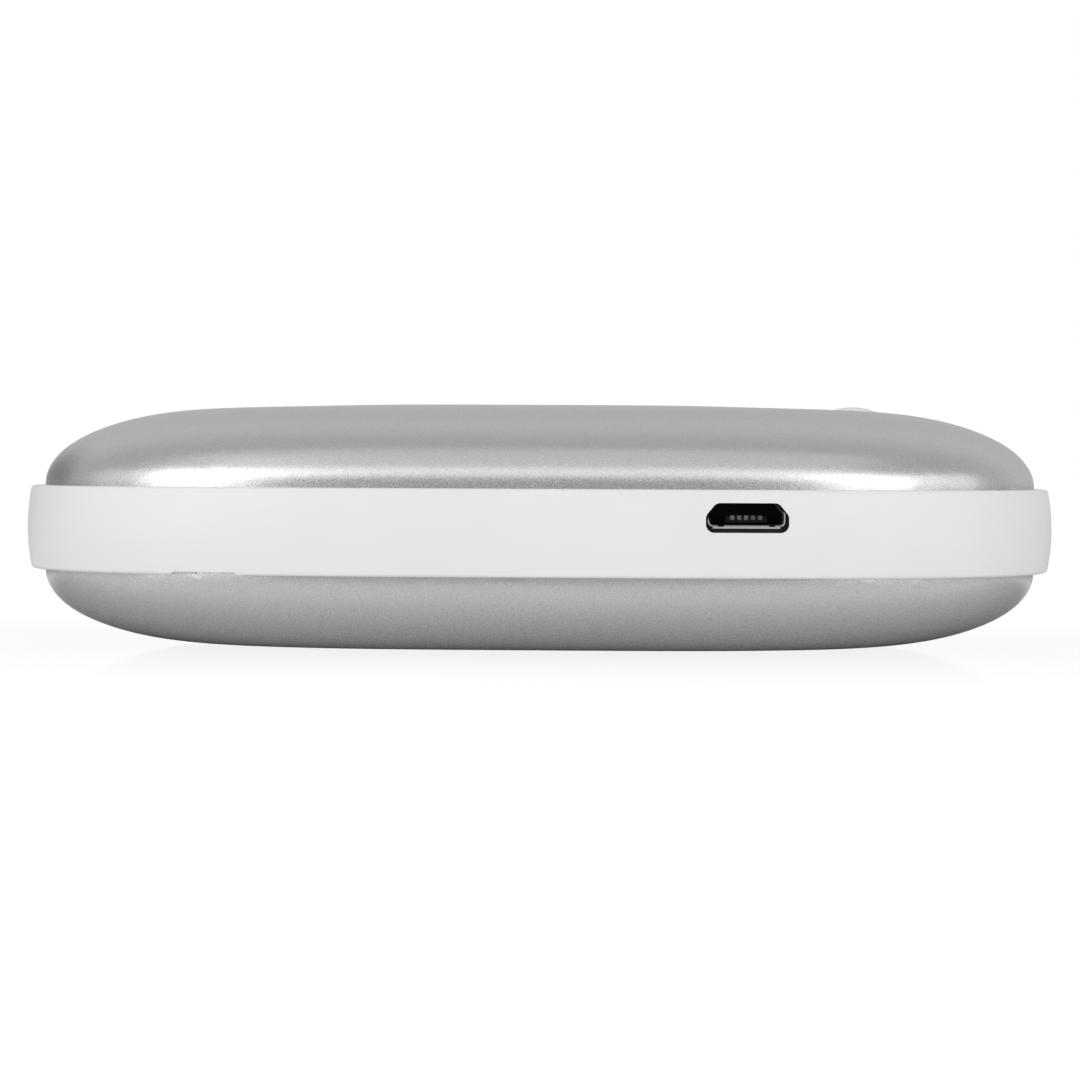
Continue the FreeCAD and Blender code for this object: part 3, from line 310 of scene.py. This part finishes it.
MATERIALS = {
    "shell_metal": shell_metal(),
    "band_white": white_plastic("band_white", 0.76, 0.42, 0.03),
    "button_white": white_plastic("button_white", 0.8, 0.25, 0.02),
    "frame_plastic": plain("frame_plastic", (0.012, 0.012, 0.0125), 0.55, gloss=0.2),
    "adhesive": soft_foam("adhesive", (0.04, 0.04, 0.04), 0.2),
    "screw_steel": metal("screw_steel", (0.5, 0.51, 0.53), 0.32, 0.15),
    "circuit_board": circuit_board(),
    "chip_black": plain("chip_black", (0.025, 0.025, 0.027), 0.55, 0.12, 0.004),
    "shield_steel": metal("shield_steel", (0.62, 0.61, 0.58), 0.3, 0.2, 0.004, 0.06, (0.1, 1, 1)),
    "thermal_pad": soft_foam("thermal_pad", (0.42, 0.48, 0.6), 0.35),
    "spreader_aluminium": metal("spreader_aluminium", (0.74, 0.74, 0.75), 0.34, 0.15, 0.004, 0.05, (1, 0.05, 1)),
    "antenna_ceramic": plain("antenna_ceramic", (0.85, 0.83, 0.78), 0.22, 0.3, 0.003, change=0.04),
    # socket_steel's last number is the colour of the painted shade on its cut edges
    "socket_steel": formed_steel("socket_steel", 0.4, 0.5, 0.02),
    "socket_black": plain("socket_black", (0.005, 0.005, 0.005), 0.6, 0.2, 0.003, gloss=0.12),
    "contact_gold": metal("contact_gold", (0.85, 0.62, 0.25), 0.25, 0.1, 0.002, 0.05),
    # contact_nickel: nickel plate, made far darker than nickel as painted shade for the inside of the socket
    "contact_nickel": metal("contact_nickel", (0.16, 0.16, 0.155), 0.4, 0.1, 0.003, 0.3),
    "card_plastic": plain("card_plastic", (0.8, 0.8, 0.78), 0.4, 0.3, 0.003, change=0.03),
    "plunger_plastic": plain("plunger_plastic", (0.09, 0.09, 0.09), 0.45, 0.2),
    "antenna_film": copper_film("antenna_film", (0.72, 0.38, 0.2), (0.04, 0.04, 0.04), 3.2, 0.7, 0.4),
    "battery_wrap": foil_pouch(),
    "foam": soft_foam("foam", (0.11, 0.11, 0.11), 0.45),
    "connector_white": plain("connector_white", (0.8, 0.79, 0.74), 0.42, 0.25, 0.004, change=0.04),
    "lead_red": plain("lead_red", (0.5, 0.025, 0.02), 0.45, 0.4),
    "lead_yellow": plain("lead_yellow", (0.68, 0.5, 0.04), 0.45, 0.4),
    "lead_black": plain("lead_black", (0.02, 0.02, 0.02), 0.45, 0.4),
    "led_body": light_chip(),
    "guide_clear": clear_acrylic(),
    "ribbon_film": copper_film("ribbon_film", (0.62, 0.3, 0.1), (0.5, 0.24, 0.05), 0.5, 0.5, 0.35),
}
for entry in frame["record"]["subparts"]:
    shown = nodes[entry["node"]].data.materials
    shown.clear()
    shown.append(MATERIALS[entry["material_slot"]])


# Studio

# (how much the ray faces the front, brightness)
ROOM = ((-1, 0.57), (-0.6, 0.78), (0, 0.59), (0.6, 0.55), (1, 0.4))
# A dark corner of the room, behind at the left: its direction, the cosines where it starts and ends, its shade
CORNER, CORNER_START, CORNER_END, CORNER_SHADE = (-0.76, 0.64, 0.1), 0.86, 0.99, 0.4

FLOOR_SIDE, FLOOR_DROP, FLOOR_GREY = 3.0, 0.02 * MM, 0.55
FLOOR_OVAL = (0.3, 1, 0)  # distances on the floor count this much along each axis
# painted light: how much the floor glows for the object, with none near it as a painted contact shadow (millimetres
# from the middle, added brightness)
FLOOR_PAINTED_GLOW = ((16, 0.0), (36, 0.38), (60, 0.34), (90, 0.08), (130, 0.0))
MIRROR_SHARE, MIRROR_START, MIRROR_END, MIRROR_ROUGH = 0.15, 14, 60, 0.05
CLEAN_WHITE = 1.02

MIDDLE = Vector((0, 0, 0.0125))
# azimuth from the front towards +X and elevation in degrees, reach, width, height, radiance
LIGHTS = {
    "key_left": (-41, 12, 0.6, 0.29, 0.42, 2.5),
    "key_right": (37, 8, 0.6, 0.24, 0.40, 2.3),
    "side_left": (-72, 14, 0.6, 0.25, 0.30, 0.4),
    "side_right": (66, 14, 0.6, 0.30, 0.30, 0.8),
    "fill_left": (-26, 24, 0.6, 0.27, 0.22, 0.3),
    "fill_right": (24, 22, 0.6, 0.22, 0.22, 0.25),
    "top_left": (-45, 45, 0.6, 0.3, 0.28, 0.25),
    "front_strip": (0, 29, 0.8, 0.9, 0.28, 0.95),
    "overhead": (0, 60, 0.8, 0.9, 0.5, 0.3),
}

CAMERA_PLACE = (0.0067, -0.271, 0.0185)
YAW, PITCH, ROLL = (math.radians(angle) for angle in (-1.42, 1.62, 0.28))
LENS, SENSOR = 85.53, 36


def floor_material():
    """White to the camera, with a faint reflection that fades away from the object; to the object, pale grey with a
    painted glow, left out near the object as a painted contact shadow.
    """
    tree = Surface("studio_floor")
    reach = tree.vector("LENGTH", tree.vector("MULTIPLY", tree.at, FLOOR_OVAL))
    shown = tree.new("MixShader", Fac=tree.spread(reach, MIRROR_SHARE, 0.0, MIRROR_START, MIRROR_END))
    tree.feed(shown.inputs[1], tree.new("Emission", Strength=CLEAN_WHITE).outputs[0])
    tree.feed(shown.inputs[2], tree.new("BsdfGlossy", Color=WHITE, Roughness=MIRROR_ROUGH).outputs[0])
    lit = tree.new("AddShader")
    tree.feed(lit.inputs[0], tree.new("BsdfDiffuse", Color=grey(FLOOR_GREY)).outputs[0])
    # painted light and painted contact shadow: the floor's glow, none near the object
    tree.feed(lit.inputs[1], tree.new("Emission", Strength=tree.ramp(reach, FLOOR_PAINTED_GLOW)).outputs[0])
    both = tree.new("MixShader", Fac=tree.new("LightPath").outputs["Is Camera Ray"])
    tree.feed(both.inputs[1], lit.outputs[0])
    tree.feed(both.inputs[2], shown.outputs[0])
    tree.feed(tree.nodes["Material Output"].inputs["Surface"], both.outputs[0])
    return tree.owner


def make_floor():
    side = FLOOR_SIDE
    mesh = bpy.data.meshes.new("studio_floor")
    mesh.from_pydata([(-side, -side, 0), (side, -side, 0), (side, side, 0), (-side, side, 0)], [], [(0, 1, 2, 3)])
    made = bpy.data.objects.new("studio_floor", mesh)
    scene.collection.objects.link(made)
    made.location.z = cad_box[0].z - FLOOR_DROP
    mesh.materials.append(floor_material())


def make_world():
    """White to the camera. The object sees a grey room, brightest behind it, with one dark corner."""
    tree = Tree(bpy.data.worlds.new("studio"))
    ray = tree.place.outputs["Generated"]
    room = tree.ramp(tree.vector("DOT_PRODUCT", ray, FRONT), ROOM)
    towards_corner = tree.vector("DOT_PRODUCT", ray, CORNER)
    shade = tree.spread(towards_corner, 1.0, CORNER_SHADE, CORNER_START, CORNER_END)
    shade.node.interpolation_type = "SMOOTHSTEP"
    seen = tree.vector("MULTIPLY", room, shade)
    camera_ray = tree.new("LightPath").outputs["Is Camera Ray"]
    tree.feed(tree.nodes["Background"].inputs["Color"], tree.mix(camera_ray, seen, WHITE))
    scene.world = tree.owner


def softbox(name, azimuth, elevation, reach, width, height, radiance):
    """A rectangular light aimed at the middle of the object."""
    a, e = math.radians(azimuth), math.radians(elevation)
    away = Vector((math.sin(a) * math.cos(e), -math.cos(a) * math.cos(e), math.sin(e)))
    light = bpy.data.lights.new(name, "AREA")
    light.shape, light.size, light.size_y = "RECTANGLE", width, height
    light.energy = radiance * math.pi * width * height
    made = bpy.data.objects.new(name, light)
    made.location = MIDDLE + away * reach
    made.rotation_mode = "QUATERNION"
    made.rotation_quaternion = away.to_track_quat("Z", "Y")
    made.visible_camera = False
    scene.collection.objects.link(made)


def make_camera():
    data = bpy.data.cameras.new("camera")
    data.sensor_width, data.lens = SENSOR, LENS
    data.clip_start, data.clip_end = 0.01, 20
    forward = Vector((math.sin(YAW) * math.cos(PITCH), math.cos(YAW) * math.cos(PITCH), -math.sin(PITCH)))
    level = forward.cross(Vector((0, 0, 1))).normalized()
    up = level.cross(forward)
    right = level * math.cos(ROLL) + up * math.sin(ROLL)
    top = up * math.cos(ROLL) - level * math.sin(ROLL)
    turn = Matrix((right, top, -forward)).transposed().to_4x4()
    made = bpy.data.objects.new("camera", data)
    made.matrix_world = Matrix.Translation(CAMERA_PLACE) @ turn
    scene.collection.objects.link(made)
    scene.camera = made


make_floor()
make_world()
for name, setting in LIGHTS.items():
    softbox(name, *setting)
make_camera()
scene.view_settings.view_transform = "Standard"
